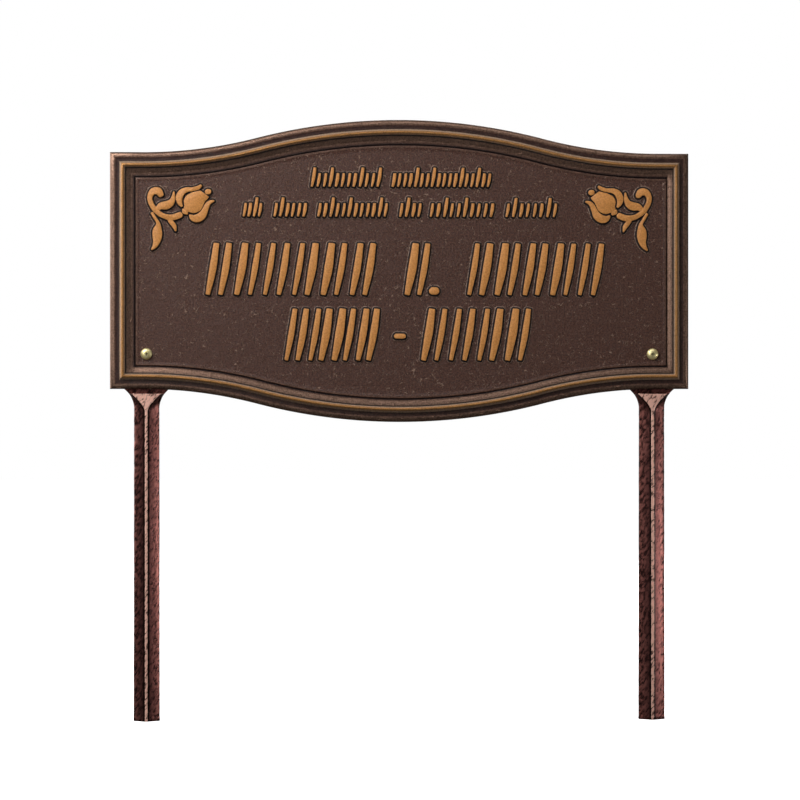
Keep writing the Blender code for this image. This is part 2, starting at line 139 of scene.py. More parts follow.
def blank(name, outline, height):
    """A flat face on an outline, facing the front at this height above the plaque's back."""
    bpy.ops.object.select_all(action="DESELECT")
    bpy.ops.mesh.primitive_circle_add(vertices=len(outline), radius=0.01, fill_type="NGON")
    piece = bpy.context.object
    piece.name = name
    for vertex, (x, z) in zip(piece.data.vertices, outline):
        vertex.co = (x, -height, z)
    bpy.ops.object.mode_set(mode="EDIT")
    bpy.ops.mesh.select_mode(type="FACE")
    bpy.ops.mesh.select_all(action="SELECT")
    return piece


def section_steps(start, runs):
    """Steps (across, up) along runs that each bow out by their bulge in the middle."""
    steps = []
    here = start
    for end_across, end_height, bulge, count in runs:
        run = end_across - start[0]
        rise = end_height - start[1]
        length = math.hypot(run, rise)
        for number in range(1, count + 1):
            share = number / count
            out = 4 * bulge * share * (1 - share)
            across = start[0] + run * share - rise / length * out
            up = start[1] + rise * share + run / length * out
            steps.append((across - here[0], up - here[1]))
            here = (across, up)
        start = here
    return steps


def mark_selected(piece, name, value):
    """Writes a value on the selected points, for the paint to follow."""
    work = bmesh.from_edit_mesh(piece.data)
    layer = work.verts.layers.float.get(name) or work.verts.layers.float.new(name)
    for vertex in work.verts:
        if vertex.select:
            vertex[layer] = value
    bmesh.update_edit_mesh(piece.data)


plate = blank("plaque_casting", plaque_outline(), EDGE_HEIGHT)
mark_selected(plate, "inset", 0.0)
distance_in = 0.0
for across, up in section_steps((0.0, EDGE_HEIGHT), FRAME_RUNS):
    bpy.ops.mesh.inset(thickness=across, depth=up, use_boundary=True, use_even_offset=True)
    distance_in += across
    mark_selected(plate, "inset", distance_in)

# The flat face left inside the frame becomes the field's grid, filled from its upper right corner.
bpy.ops.mesh.delete(type="ONLY_FACE")
bpy.ops.mesh.select_mode(type="EDGE")
bpy.ops.mesh.select_all(action="DESELECT")
work = bmesh.from_edit_mesh(plate.data)
for edge in work.edges:
    edge.select_set(edge.is_boundary and all(abs(v.co.y + PLATE_THICKNESS) < TOUCH for v in edge.verts))
corner = max((v for v in work.verts if v.select), key=lambda v: v.co.x + v.co.z)
work.select_history.add(corner)
bmesh.update_edit_mesh(plate.data)
bpy.ops.mesh.fill_grid(span=2 * (CROWN_STEPS + SHOULDER_STEPS + CORNER_STEPS), use_interp_simple=True)
mark_selected(plate, "inset", distance_in)
plate.vertex_groups.new(name="field")
bpy.ops.object.vertex_group_assign()

# The field and its groove sit a little low and to the right inside the ridge.
bpy.ops.mesh.select_mode(type="VERT")
bpy.ops.mesh.select_all(action="DESELECT")
work = bmesh.from_edit_mesh(plate.data)
inset_mark = work.verts.layers.float["inset"]
for vertex in work.verts:
    vertex.select_set(vertex[inset_mark] > GROOVE_START - MARK_SPARE)
work.select_flush_mode()
bmesh.update_edit_mesh(plate.data)
narrower = 1 - FIELD_NARROWER / (2 * (HALF_WIDTH - FRAME_WIDTH))
lower = 1 - FIELD_LOW / (2 * (HALF_HEIGHT - FRAME_WIDTH))
corner = (HALF_WIDTH - FRAME_WIDTH, 0, CENTRE_HEIGHT - HALF_HEIGHT + FRAME_WIDTH)
bpy.ops.transform.resize(value=(narrower, 1, lower), center_override=corner)
bpy.ops.transform.translate(value=(FIELD_RIGHT, 0, 0))
bpy.ops.mesh.select_mode(type="EDGE")

# The rim is drawn back to the plate's flat back, with its arris eased, and the back is closed.
bpy.ops.mesh.select_all(action="DESELECT")
work = bmesh.from_edit_mesh(plate.data)
for edge in work.edges:
    edge.select_set(edge.is_boundary)
bmesh.update_edit_mesh(plate.data)
bpy.ops.mesh.extrude_edges_move(TRANSFORM_OT_translate={"value": (0, EDGE_HEIGHT - BACK_ARRIS, 0)})
bpy.ops.mesh.extrude_edges_move(TRANSFORM_OT_translate={"value": (0, BACK_ARRIS, 0)})
bpy.ops.transform.shrink_fatten(value=-BACK_ARRIS, use_even_offset=True)
mark_selected(plate, "inset", BACK_MARK)
bpy.ops.mesh.edge_face_add()
bpy.ops.object.mode_set(mode="OBJECT")
plate.data.shade_smooth()
plate.data.set_sharp_from_angle(angle=SHARP_BEND)


def press(piece, texture, strength, group):
    """Pushes a group of points in along their normals by a cloud of this texture."""
    bpy.context.view_layer.objects.active = piece
    skin = piece.modifiers.new(texture.name, "DISPLACE")
    skin.texture = texture
    skin.texture_coords = "LOCAL"
    skin.strength = strength
    skin.mid_level = 1.0
    skin.vertex_group = group
    bpy.ops.object.modifier_apply(modifier=skin.name)


sand = bpy.data.textures.new("sand_skin", "CLOUDS")
sand.noise_scale = SAND_GRAIN
sand.noise_depth = 2
press(plate, sand, SAND_DEPTH, "field")

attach(plate, "root")
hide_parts("plaque")


def node(tree, kind, inputs=(), **settings):
    """Adds a shader node with these settings and inputs, which are values or other nodes' sockets."""
    made = tree.nodes.new("ShaderNode" + kind)
    for name, value in settings.items():
        setattr(made, name, value)
    for name, value in dict(inputs).items():
        if isinstance(value, bpy.types.NodeSocket):
            tree.links.new(value, made.inputs[name])
        else:
            made.inputs[name].default_value = value
    return made


def new_finish(name):
    """A material with its node tree, its shader and the coordinates of the object."""
    material = bpy.data.materials.new(name)
    material.use_nodes = True
    tree = material.node_tree
    return material, tree, tree.nodes["Principled BSDF"], node(tree, "TexCoord").outputs["Object"]


def ramp(tree, value, start, end, low=0.0, high=1.0):
    """Carries a value from start to end smoothly onto low to high."""
    span = {"Value": value, "From Min": start, "From Max": end, "To Min": low, "To Max": high}
    return node(tree, "MapRange", span, interpolation_type="SMOOTHSTEP").outputs["Result"]


def mix(tree, share, first, second):
    """One colour over another by a share."""
    made = node(tree, "Mix", {0: share, 6: first, 7: second}, data_type="RGBA")
    return made.outputs[2]


def noise(tree, place, scale, **inputs):
    """A cloud of values from 0 to 1, with this many swells to the metre."""
    return node(tree, "TexNoise", {"Vector": place, "Scale": scale, **inputs}).outputs["Fac"]


def times(tree, first, second):
    """The product of two values."""
    return node(tree, "Math", {0: first, 1: second}, operation="MULTIPLY").outputs[0]


def plus(tree, first, second):
    """The sum of two values."""
    return node(tree, "Math", {0: first, 1: second}, operation="ADD").outputs[0]


def largest(tree, first, second):
    """The larger of two values."""
    return node(tree, "Math", {0: first, 1: second}, operation="MAXIMUM").outputs[0]


def band(tree, value, start, full, fade, end):
    """A share that is 1 from full to fade, and falls off smoothly to 0 at start and end."""
    return times(tree, ramp(tree, value, start, full), ramp(tree, value, end, fade))


# Dark bronze paint on the plate: finely grained with short curled flecks, and near black in the hollows.
# It is worn to tan along the rim, the sloping inner moulding and the fillet, and rubbed with gold by
# hand along the ridge, whose two flanks are painted paler as a painted highlight.
BRONZE_DARK = (0.033, 0.0118, 0.0072, 1)
BRONZE_LIGHT = (0.088, 0.0360, 0.0235, 1)
WORN_BRONZE = (0.280, 0.176, 0.126, 1)
HOLLOW_BLACK = (0.010, 0.005, 0.0045, 1)
RUBBED_GOLD = (0.40, 0.190, 0.060, 1)
# A paler gold for the ridge's flanks: a painted highlight.
FLANK_HIGHLIGHT = (0.66, 0.460, 0.310, 1)
SKIN_GRAIN = 620
SKIN_DEPTH = 0.00058
FLECK_CURL = 330
FLECK_PATCH = 420
FLECK_LINE = (0.034, 0.010)
FLECK_CLUSTER = (0.53, 0.62)
FLECK_RISE = 1.2
FLECK_WEAR = 0.9
MOTTLE_GRAIN = 900
BRONZE_ROUGHNESS = (0.34, 0.46)
BRONZE_GLOSS = 0.35
FRAME_SKIN = 0.35

# Bands of the frame as distances in from its edge: where each starts, is full, fades and ends.
RIM_BAND = (-0.0030, -0.0010, 0.0028, 0.0040)
COVE_BAND = (0.0034, 0.0042, 0.0062, 0.0070)
RIDGE_BAND = (0.0063, 0.0069, 0.0101, 0.0107)
CROWN_BAND = (0.0073, 0.0081, 0.0095, 0.0101)
DROP_BAND = (0.0102, 0.0107, 0.0112, 0.0120)
SLOPE_BAND = (0.0110, 0.0116, 0.0144, GROOVE_START)
GROOVE_BAND = (0.0148, 0.0155, 0.0161, 0.0166)
FILLET_BAND = (0.0163, 0.0168, 0.0174, 0.0180)
FIELD_EDGE = (0.0172, 0.0180)
COVE_BLACKENING = 0.6
SLOPE_WEAR = 0.9
FILLET_WEAR = 0.35
LEAST_WEAR = 0.55
WORN_METAL = 0.90
WORN_TINT = 0.75
RUBBED_METAL = 0.62


def pebbled(tree, place):
    """The sand-cast skin: its height, and where short curled flecks stand up out of its fine grain."""
    grain = noise(tree, place, SKIN_GRAIN, Detail=5, Roughness=0.7)
    curl = noise(tree, place, FLECK_CURL, Detail=1)
    contour = node(tree, "Math", {0: curl, 1: 0.5}, operation="SUBTRACT").outputs[0]
    contour = node(tree, "Math", {0: contour}, operation="ABSOLUTE").outputs[0]
    patch = noise(tree, place, FLECK_PATCH, Detail=1, Distortion=0.6)
    fleck = times(tree, ramp(tree, contour, *FLECK_LINE), ramp(tree, patch, *FLECK_CLUSTER))
    return plus(tree, grain, times(tree, fleck, FLECK_RISE)), fleck


bronze, tree, shader, place = new_finish("bronze_paint")
inset = node(tree, "Attribute", attribute_name="inset").outputs["Fac"]
skin, fleck = pebbled(tree, place)
mottle = noise(tree, place, MOTTLE_GRAIN, Detail=4, Roughness=0.6)
brown = mix(tree, ramp(tree, mottle, 0.39, 0.61), BRONZE_DARK, BRONZE_LIGHT)
on_field = ramp(tree, inset, *FIELD_EDGE)
fleck_share = times(tree, times(tree, fleck, on_field), FLECK_WEAR)
brown = mix(tree, fleck_share, brown, WORN_BRONZE)

# Near black in the groove, below the ridge and, thinner, in the cove.
hollow_black = largest(tree, band(tree, inset, *GROOVE_BAND), band(tree, inset, *DROP_BAND))
hollow_black = largest(tree, hollow_black, times(tree, band(tree, inset, *COVE_BAND), COVE_BLACKENING))
brown = mix(tree, hollow_black, brown, HOLLOW_BLACK)

# The rim, the fillet and the slope are worn towards bare metal.
wear = ramp(tree, mottle, 0.34, 0.62, LEAST_WEAR, 1.0)
worn_fillet = times(tree, band(tree, inset, *FILLET_BAND), FILLET_WEAR)
worn_slope = times(tree, band(tree, inset, *SLOPE_BAND), SLOPE_WEAR)
worn = largest(tree, band(tree, inset, *RIM_BAND), worn_fillet)
worn = largest(tree, worn, worn_slope)
bare = times(tree, worn, WORN_METAL)
worn = times(tree, times(tree, worn, wear), WORN_TINT)
brown = mix(tree, worn, brown, WORN_BRONZE)

# Gold is rubbed along the ridge, and its two flanks are painted paler as a painted highlight.
gold_with_highlight = mix(tree, band(tree, inset, *CROWN_BAND), FLANK_HIGHLIGHT, RUBBED_GOLD)
rub_and_highlight = times(tree, band(tree, inset, *RIDGE_BAND), wear)
tree.links.new(mix(tree, rub_and_highlight, brown, gold_with_highlight), shader.inputs["Base Color"])
metal = largest(tree, bare, times(tree, rub_and_highlight, RUBBED_METAL))
tree.links.new(metal, shader.inputs["Metallic"])
tree.links.new(ramp(tree, mottle, 0.3, 0.7, *BRONZE_ROUGHNESS), shader.inputs["Roughness"])
skin = times(tree, skin, ramp(tree, on_field, 0.0, 1.0, FRAME_SKIN, 1.0))
grain = node(tree, "Bump", {"Height": skin, "Strength": 0.9, "Distance": SKIN_DEPTH})
tree.links.new(grain.outputs["Normal"], shader.inputs["Normal"])
shader.inputs["Specular IOR Level"].default_value = BRONZE_GLOSS
plate.data.materials.append(bronze)

# The inscription: rows of leaning strokes cast on the field, their flat tops painted gold and their
# sides left dark. Every place of a row is built from a few kinds of stroke.
RELIEF_TOP = 0.0051
TOP_ARRIS = 0.0001
SMALL_ROW_HEIGHT = 0.0128
LARGE_ROW_HEIGHT = 0.0349
SMALL_STROKE = 0.0024
LARGE_STROKE = 0.0056
STROKE_LEAN = 0.17
STROKE_BOW = 0.10
STROKE_TAPERS = ((0.0, 0.62), (0.5, 1.0), (1.0, 0.80))
STROKE_STEPS = 6
STROKE_CAPS = ((4, 0.22), (4, 0.22))
MARK_STEPS = 2
MARK_CAPS = ((8, 1), (8, 1))
RELIEF_BEND = math.radians(50)
ROW_GAPS = (0.208, 0.099, 0.237, 0.129)
ROW_SHIFTS = (0.0007, 0.0004, 0.0031, 0.0056)

# The side of a raised form from its top edge down to under the field, as steps (out, down).
RELIEF_SIDE = (
    (0.00008, 0.00016),
    (0.00070, 0.00094),
    (0.00032, 0.00022),
    (0.00026, 0.00004),
    (0.00040, 0.00024),
    (0.00020, 0.00060),
)


def smooth_stations(stations, steps):
    """Reads (u, v, width) on a smooth curve through the stations, with this many steps between two."""
    padded = [stations[0]] + list(stations) + [stations[-1]]
    samples = []
    for i in range(1, len(padded) - 2):
        for step in range(steps):
            t = step / steps
            pulls = (-t + 2 * t**2 - t**3, 2 - 5 * t**2 + 3 * t**3, t + 4 * t**2 - 3 * t**3, t**3 - t**2)
            near = padded[i - 1 : i + 3]
            samples.append(tuple(sum(p * q for p, q in zip(pulls, axis)) / 2 for axis in zip(*near)))
    samples.append(tuple(stations[-1]))
    return samples


def stroke_outline(stations, steps, caps):
    """The outline of a stroke of changing width; each cap is its count of edges and how far it bulges."""
    samples = smooth_stations(stations, steps)
    left = []
    right = []
    ends = []
    for i, (u, v, width) in enumerate(samples):
        before = samples[max(i - 1, 0)]
        after = samples[min(i + 1, len(samples) - 1)]
        heading = math.atan2(after[1] - before[1], after[0] - before[0])
        across = (-math.sin(heading) * width / 2, math.cos(heading) * width / 2)
        left.append((u + across[0], v + across[1]))
        right.append((u - across[0], v - across[1]))
        ends.append((u, v, width / 2, heading))
    rounds = []
    for (u, v, radius, heading), side, (count, reach) in zip((ends[0], ends[-1]), (1, -1), caps):
        # The flatter a cap, the squarer its corners.
        power = 0.4 + 0.6 * reach
        arc = []
        for step in range(1, count):
            turn = math.pi * step / count
            across = side * radius * math.copysign(abs(math.cos(turn)) ** power, math.cos(turn))
            beyond = -side * radius * reach * math.sin(turn) ** power
            cos, sin = math.cos(heading), math.sin(heading)
            arc.append((u + beyond * cos - across * sin, v + beyond * sin + across * cos))
        rounds.append(arc)
    return left[::-1] + rounds[0] + right + rounds[1]


def raised_form(name, outline, sunk=0.0):
    """A cast form on the field: an eased flat top on the outline, and sides that flare at the foot."""
    form = blank(name, outline, RELIEF_TOP - TOP_ARRIS - sunk)
    mark_selected(form, "outward", 0.0)
    bpy.ops.mesh.inset(thickness=2 * TOP_ARRIS, depth=TOP_ARRIS, use_boundary=True, use_even_offset=True)
    mark_selected(form, "outward", -2 * TOP_ARRIS)
    bpy.ops.mesh.select_mode(type="EDGE")
    work = bmesh.from_edit_mesh(form.data)
    for edge in work.edges:
        edge.select_set(edge.is_boundary)
    bmesh.update_edit_mesh(form.data)
    outward = 0.0
    for out, down in RELIEF_SIDE:
        bpy.ops.mesh.extrude_edges_move(TRANSFORM_OT_translate={"value": (0, down, 0)})
        bpy.ops.transform.shrink_fatten(value=out)
        outward += out
        mark_selected(form, "outward", outward)
    bpy.ops.mesh.edge_face_add()
    bpy.ops.mesh.select_all(action="SELECT")
    bpy.ops.mesh.normals_make_consistent(inside=False)
    bpy.ops.object.mode_set(mode="OBJECT")
    return form


def weld(name, forms):
    """Joins cast forms into one piece, shaded smooth up to its arrises."""
    bpy.ops.object.select_all(action="DESELECT")
    for form in forms:
        form.select_set(True)
    bpy.context.view_layer.objects.active = forms[0]
    bpy.ops.object.join()
    piece = bpy.context.object
    piece.name = name
    piece.data.shade_smooth()
    piece.data.set_sharp_from_angle(angle=RELIEF_BEND)
    return piece


# Kinds of place: each stroke is (across, foot, top, weight) in shares of the place, row and stroke.
LARGE_PLACES = (
    ((0.28, 0.00, 1.00, 0.95), (0.74, 0.00, 1.00, 0.70)),
    ((0.27, 0.00, 1.00, 0.70), (0.72, 0.00, 1.00, 0.95)),
    ((0.28, 0.00, 1.00, 0.85), (0.72, 0.00, 1.00, 0.85)),
    ((0.26, 0.00, 1.00, 0.70), (0.74, 0.00, 1.00, 0.80)),
    ((0.28, 0.00, 1.00, 1.00), (0.73, 0.00, 1.00, 0.75)),
)
SMALL_PLACES = (
    ((0.27, 0.00, 1.00, 0.95), (0.75, 0.00, 0.70, 0.80)),
    ((0.27, 0.00, 0.70, 0.80), (0.75, 0.00, 0.70, 0.95)),
    ((0.27, 0.00, 0.70, 0.95), (0.75, 0.00, 0.70, 0.80)),
    ((0.27, 0.00, 0.70, 0.80), (0.75, 0.00, 1.00, 0.95)),
)
GREETING = ((0.0, 0.395, 6), (0.445, 1.0, 9))
VERSE = ((0.0, 0.065, 2), (0.096, 0.207, 3), (0.234, 0.463, 6))
VERSE += ((0.492, 0.57, 2), (0.588, 0.80, 5), (0.828, 1.0, 4))
NAME = ((0.0, 0.431, 6), (0.498, 0.565, 1), (0.653, 1.0, 5))
DATES = ((0.0, 0.383, 4), (0.547, 1.0, 4))
# Rows: height, stroke, margin to the frame, kinds of place, words as (start, end, places) in shares.
ROWS = (
    (SMALL_ROW_HEIGHT, SMALL_STROKE, 0.1203, SMALL_PLACES, GREETING),
    (SMALL_ROW_HEIGHT, SMALL_STROKE, 0.0739, SMALL_PLACES, VERSE),
    (LARGE_ROW_HEIGHT, LARGE_STROKE, 0.0448, LARGE_PLACES, NAME),
    (LARGE_ROW_HEIGHT, LARGE_STROKE, 0.0977, LARGE_PLACES, DATES),
)
# The point of the name row and the dash of the date row: (row, start, end, height up it, weight).
SIDE_MARKS = ((2, 0.570, 0.577, 0.07, 0.90), (3, 0.452, 0.480, 0.47, 0.60))

field_half = HALF_HEIGHT - FRAME_WIDTH
free = 2 * field_half - sum(row[0] for row in ROWS)
base = CENTRE_HEIGHT + field_half
strokes = []
for number, (row_height, stroke, margin, kinds, words) in enumerate(ROWS):
    base -= free * ROW_GAPS[number] + row_height
    length = 2 * (HALF_WIDTH - FRAME_WIDTH - margin)
    row_start = ROW_SHIFTS[number] - length / 2
    for word, (start, end, places) in enumerate(words):
        pitch = (end - start) * length / places
        for i in range(places):
            left = row_start + start * length + i * pitch
            kind = kinds[(3 * i + 2 * word + number) % len(kinds)]
            for across, foot, top, weight in kind:
                width = stroke * weight
                bow = STROKE_BOW * width
                stations = []
                for share, taper in STROKE_TAPERS:
                    up = foot + (top - foot) * share
                    lean = STROKE_LEAN * row_height * (up - 0.5) + 4 * bow * share * (1 - share)
                    stations.append((left + pitch * across + lean, base + row_height * up, width * taper))
                strokes.append(raised_form("stroke", stroke_outline(stations, STROKE_STEPS, STROKE_CAPS)))
    for row, start, end, up, weight in SIDE_MARKS:
        if row == number:
            ends = [row_start + share * length for share in (start, end)]
            stations = [(u, base + up * row_height, stroke * weight) for u in ends]
            strokes.append(raised_form("mark", stroke_outline(stations, MARK_STEPS, MARK_CAPS)))
inscription = weld("inscription_strokes", strokes)
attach(inscription, "root")
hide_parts("plaque")

# Gold paint rolled onto the raised tops: flat and a little mottled, over dark sides and a bronze foot.
# The paint's edges are distances out from the edge of the top.
GOLD_LIGHT = (0.59, 0.255, 0.062, 1)
GOLD_DEEP = (0.43, 0.170, 0.036, 1)
SHADED_SIDE = (0.006, 0.003, 0.0025, 1)
GOLD_GRAIN = 760
GOLD_GRAIN_DEPTH = 0.0004
GOLD_ROUGHNESS = (0.48, 0.62)
GOLD_EDGE = 0.00006
SIDE_START = (0.00002, 0.00010)
FOOT_START = (0.00118, 0.00138)
SIDE_DULLNESS = 0.5

gold, tree, shader, place = new_finish("gold_faced_relief")
outward = node(tree, "Attribute", attribute_name="outward").outputs["Fac"]
mottle = noise(tree, place, GOLD_GRAIN, Detail=5, Roughness=0.7)
mottle_share = ramp(tree, mottle, 0.38, 0.62)
face_colour = mix(tree, mottle_share, GOLD_DEEP, GOLD_LIGHT)
foot_colour = mix(tree, mottle_share, BRONZE_DARK, WORN_BRONZE)
side_colour = mix(tree, ramp(tree, outward, *FOOT_START), SHADED_SIDE, foot_colour)
colour = mix(tree, ramp(tree, outward, GOLD_EDGE, 0.0), side_colour, face_colour)
tree.links.new(colour, shader.inputs["Base Color"])
on_side = band(tree, outward, *SIDE_START, *FOOT_START)
dull = {0: times(tree, on_side, SIDE_DULLNESS), 1: ramp(tree, mottle, 0.3, 0.7, *GOLD_ROUGHNESS)}
dull = node(tree, "Math", dull, operation="ADD", use_clamp=True).outputs[0]
tree.links.new(dull, shader.inputs["Roughness"])
grain = node(tree, "Bump", {"Height": mottle, "Strength": 0.6, "Distance": GOLD_GRAIN_DEPTH})
tree.links.new(grain.outputs["Normal"], shader.inputs["Normal"])
inscription.data.materials.append(gold)

# Tulip sprays: one cast in each upper corner of the field, gold on top like the strokes. The left
# one is built of strokes of (across, up, width), in shares of its width from the flower's foot.
TULIP_WIDTH = 0.0467
TULIP_FROM_SIDE = 0.0323
TULIP_FROM_TOP = 0.0257
SPRAY_STEPS = 5
STEM = (
    (-0.305, 0.289, 0.085),
    (-0.345, 0.335, 0.108),
    (-0.415, 0.330, 0.098),
    (-0.455, 0.275, 0.080),
    (-0.462, 0.208, 0.071),
    (-0.432, 0.125, 0.071),
    (-0.375, 0.045, 0.072),
    (-0.300, -0.012, 0.068),
    (-0.215, -0.048, 0.074),
    (-0.115, -0.052, 0.088),
    (-0.020, -0.018, 0.086),
)
INNER_LEAF = (
    (-0.365, 0.062, 0.050),
    (-0.300, 0.112, 0.100),
    (-0.215, 0.126, 0.120),
    (-0.150, 0.168, 0.095),
    (-0.118, 0.240, 0.056),
    (-0.110, 0.318, 0.026),
)
SPUR = (
    (-0.182, -0.055, 0.072),
    (-0.150, -0.120, 0.066),
    (-0.104, -0.182, 0.062),
    (-0.082, -0.252, 0.022),
)
LOWER_LEAF = (
    (-0.430, 0.010, 0.040),
    (-0.392, -0.056, 0.042),
    (-0.350, -0.122, 0.044),
    (-0.340, -0.172, 0.075),
    (-0.352, -0.246, 0.132),
    (-0.354, -0.325, 0.140),
    (-0.362, -0.400, 0.108),
    (-0.388, -0.470, 0.070),
    (-0.432, -0.525, 0.026),
)
CUP = (
    (0.080, 0.071, 0.105),
    (0.117, 0.101, 0.240),
    (0.177, 0.157, 0.298),
    (0.231, 0.207, 0.262),
    (0.288, 0.249, 0.196),
    (0.334, 0.275, 0.154),
    (0.350, 0.292, 0.134),
)
UPPER_PETAL = (
    (0.006, 0.114, 0.036),
    (-0.024, 0.170, 0.076),
    (-0.030, 0.245, 0.098),
    (0.008, 0.316, 0.094),
    (0.076, 0.353, 0.072),
    (0.170, 0.362, 0.056),
    (0.246, 0.384, 0.056),
    (0.290, 0.416, 0.036),
)
LOWER_PETAL = (
    (0.126, -0.022, 0.030),
    (0.174, -0.062, 0.092),
    (0.246, -0.064, 0.118),
    (0.312, -0.018, 0.112),
    (0.352, 0.058, 0.086),
    (0.384, 0.130, 0.070),
    (0.426, 0.174, 0.050),
    (0.480, 0.190, 0.024),
)
SEPAL = ((0.030, 0.064, 0.034), (0.047, 0.030, 0.066), (0.088, 0.004, 0.034))
STAMEN = ((0.388, 0.326, 0.078), (0.402, 0.326, 0.078))
# What grows out of the stem stands this much lower, so that the stem's top runs on over it.
BRANCH_DROP = 0.00004

flower_x = TULIP_FROM_SIDE + FRAME_WIDTH - HALF_WIDTH
flower_z = plaque_high.z - EDGE_SWELL - FRAME_WIDTH - TULIP_FROM_TOP
forms = []
for stations, caps in (
    (STEM, ((12, 1), (8, 0.9))),
    (INNER_LEAF, ((1, 0), (4, 0.8))),
    (SPUR, ((1, 0), (4, 0.8))),
    (LOWER_LEAF, ((4, 0.6), (4, 0.8))),
    (CUP, ((6, 0.5), (1, 0))),
    (UPPER_PETAL, ((4, 0.7), (4, 0.5))),
    (LOWER_PETAL, ((4, 0.7), (4, 0.5))),
    (SEPAL, ((4, 0.6), (4, 0.6))),
    (STAMEN, ((12, 1), (12, 1))),
):
    placed = []
    for across, up, width in stations:
        x = flower_x + across * TULIP_WIDTH
        placed.append((x, flower_z + up * TULIP_WIDTH, width * TULIP_WIDTH))
    sunk = BRANCH_DROP if stations in (INNER_LEAF, SPUR) else 0.0
    forms.append(raised_form("spray", stroke_outline(placed, SPRAY_STEPS, caps), sunk))
left_tulip = weld("left_tulip_spray", forms)
left_tulip.data.materials.append(gold)

bpy.ops.object.select_all(action="DESELECT")
left_tulip.select_set(True)
bpy.context.view_layer.objects.active = left_tulip
bpy.ops.object.duplicate()
right_tulip = bpy.context.object
right_tulip.name = "right_tulip_spray"
bpy.ops.transform.resize(value=(-1, 1, 1), center_override=(0, 0, 0))
bpy.ops.object.transform_apply(location=True, rotation=True, scale=True)
bpy.ops.object.mode_set(mode="EDIT")
bpy.ops.mesh.select_all(action="SELECT")
bpy.ops.mesh.normals_make_consistent(inside=False)
bpy.ops.object.mode_set(mode="OBJECT")
for tulip in (left_tulip, right_tulip):
    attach(tulip, "root")
    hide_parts("plaque")

# Stakes: two cast aluminium bars with a narrow flat ridge down the front. Under the plaque each flares
# out and its ridge opens into a triangle under a small shelf. A flat flange runs on up behind the
# plaque and takes the screw. One is modelled at X = 0 and copied to both places.
stake_low, stake_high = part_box("left_stake")
STAKE_X = -(stake_low.x + stake_high.x) / 2
STAKE_BACK = stake_high.y
RIDGE_FRONT = stake_low.y
SEAT = 0.0003
SHAFT_WIDTH = 0.0175
SHAFT_FOOT_WIDTH = 0.0182
RIDGE_FLAT = 0.0016
FLARE_HEIGHT = 0.0138
FLARE_RADIUS = 0.0171
SHELF_DROP = 0.0032
SHELF_WIDTH = 0.0208
FACET_HEIGHT = 0.0122
FACET_CURVE = 1.5
FLANGE_CORNER = 0.0080
FLANGE_TOP = stake_high.z
GROUND_CLEARANCE = CENTRE_HEIGHT - HALF_HEIGHT + EDGE_SWELL
SCREW_Z = GROUND_CLEARANCE + 0.0242
SHAFT_STEPS = 24
FLARE_STEPS = 12
FLANGE_STEPS = 3
FLANGE_CORNER_STEPS = 6
STAKE_ARRIS = 0.00022
STAKE_BEND = math.radians(25)
HAMMER_SIZE = 0.0032
HAMMER_DEPTH = 0.00030
SAWN_FOOT = 0.001


def shaft_half(z):
    """Half the stake's width at height z: the shaft, then a hollow flare out to the flange."""
    flare_start = GROUND_CLEARANCE - FLARE_HEIGHT
    if z <= flare_start:
        return (SHAFT_FOOT_WIDTH + (SHAFT_WIDTH - SHAFT_FOOT_WIDTH) * z / flare_start) / 2
    climb = min(z, GROUND_CLEARANCE) - flare_start
    return SHAFT_WIDTH / 2 + FLARE_RADIUS - math.sqrt(FLARE_RADIUS**2 - climb**2)


def ridge_half(z):
    """Half the width of the front flat: the narrow ridge, then the triangle under the shelf."""
    share = max(0.0, (z - GROUND_CLEARANCE + SHELF_DROP + FACET_HEIGHT) / FACET_HEIGHT)
    return (RIDGE_FLAT + (SHELF_WIDTH - RIDGE_FLAT) * share**FACET_CURVE) / 2


def climb_to(piece, z, rounded=0.0):
    """Draws the open upper edge up to height z and sets its width there, less what a corner takes."""
    work = bmesh.from_edit_mesh(piece.data)
    rise = z - max(v.co.z for v in work.verts if v.select)
    bpy.ops.mesh.extrude_edges_move(TRANSFORM_OT_translate={"value": (0, 0, rise)})
    work = bmesh.from_edit_mesh(piece.data)
    for vertex in work.verts:
        if vertex.select:
            half = ridge_half(z) if vertex.co.y < 0 else shaft_half(z) - rounded
            vertex.co.x = math.copysign(half, vertex.co.x)
    bmesh.update_edit_mesh(piece.data)


def select_points(piece, chosen):
    """Selects the points that pass a test, and the edges between them."""
    bpy.ops.mesh.select_mode(type="VERT")
    bpy.ops.mesh.select_all(action="DESELECT")
    work = bmesh.from_edit_mesh(piece.data)
    for vertex in work.verts:
        vertex.select_set(chosen(vertex.co))
    work.select_flush_mode()
    bmesh.update_edit_mesh(piece.data)


bpy.ops.object.select_all(action="DESELECT")
bpy.ops.mesh.primitive_circle_add(vertices=6, radius=0.01, fill_type="NGON")
stake = bpy.context.object
foot = SHAFT_FOOT_WIDTH / 2
ridge = RIDGE_FLAT / 2
section = [(foot, SEAT), (foot, STAKE_BACK), (-foot, STAKE_BACK), (-foot, SEAT)]
section += [(-ridge, RIDGE_FRONT), (ridge, RIDGE_FRONT)]
for vertex, (x, y) in zip(stake.data.vertices, section):
    vertex.co = (x, y, 0)
bpy.ops.object.mode_set(mode="EDIT")
bpy.ops.mesh.select_mode(type="EDGE")
bpy.ops.mesh.select_all(action="SELECT")
shelf = GROUND_CLEARANCE - SHELF_DROP
facet_start = shelf - FACET_HEIGHT
for step in range(1, SHAFT_STEPS + 1):
    climb_to(stake, facet_start * step / SHAFT_STEPS)
for step in range(1, FLARE_STEPS + 1):
    climb_to(stake, facet_start + FACET_HEIGHT * step / FLARE_STEPS)

